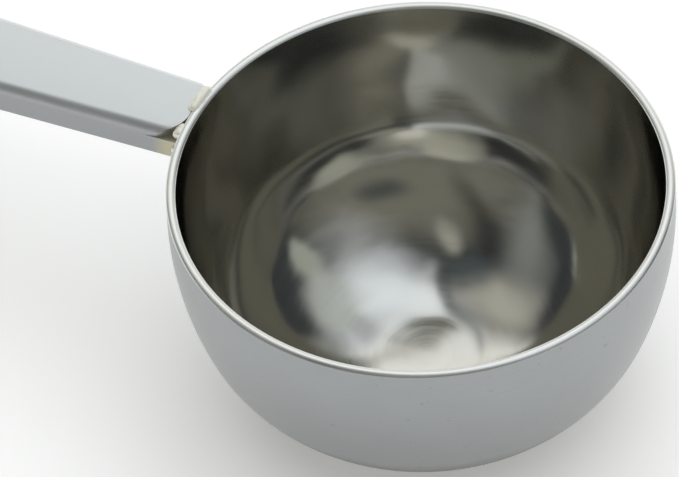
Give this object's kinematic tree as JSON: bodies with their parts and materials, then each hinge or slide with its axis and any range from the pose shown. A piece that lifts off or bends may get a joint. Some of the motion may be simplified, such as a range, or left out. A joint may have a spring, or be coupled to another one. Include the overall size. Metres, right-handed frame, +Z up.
{
  "type": "measuring spoon",
  "caption": "Sheet-steel measuring scoop: round flat-bottomed bowl with a plain rim, joined by small welds to a long folded channel handle with a hanging hole.",
  "frame": {"origin": "centre of the bowl's flat base, on its underside", "axes": "+Z up through the bowl's mouth, along the bowl's axis; the handle runs towards -X; +Y completes the right-handed frame"},
  "size_m": [0.1648, 0.047, 0.0249],
  "materials": {
    "bowl_steel": "polished inside, satin outside",
    "handle_steel": "satin",
    "weld_steel": "as welded, straw heat tint"
  },
  "bodies": {
    "root": {"bowl": "bowl_steel", "handle": "handle_steel", "weld_top": "weld_steel", "weld_corner": "weld_steel", "weld_flange_front": "weld_steel", "weld_flange_back": "weld_steel"}
  },
  "joints": []
}
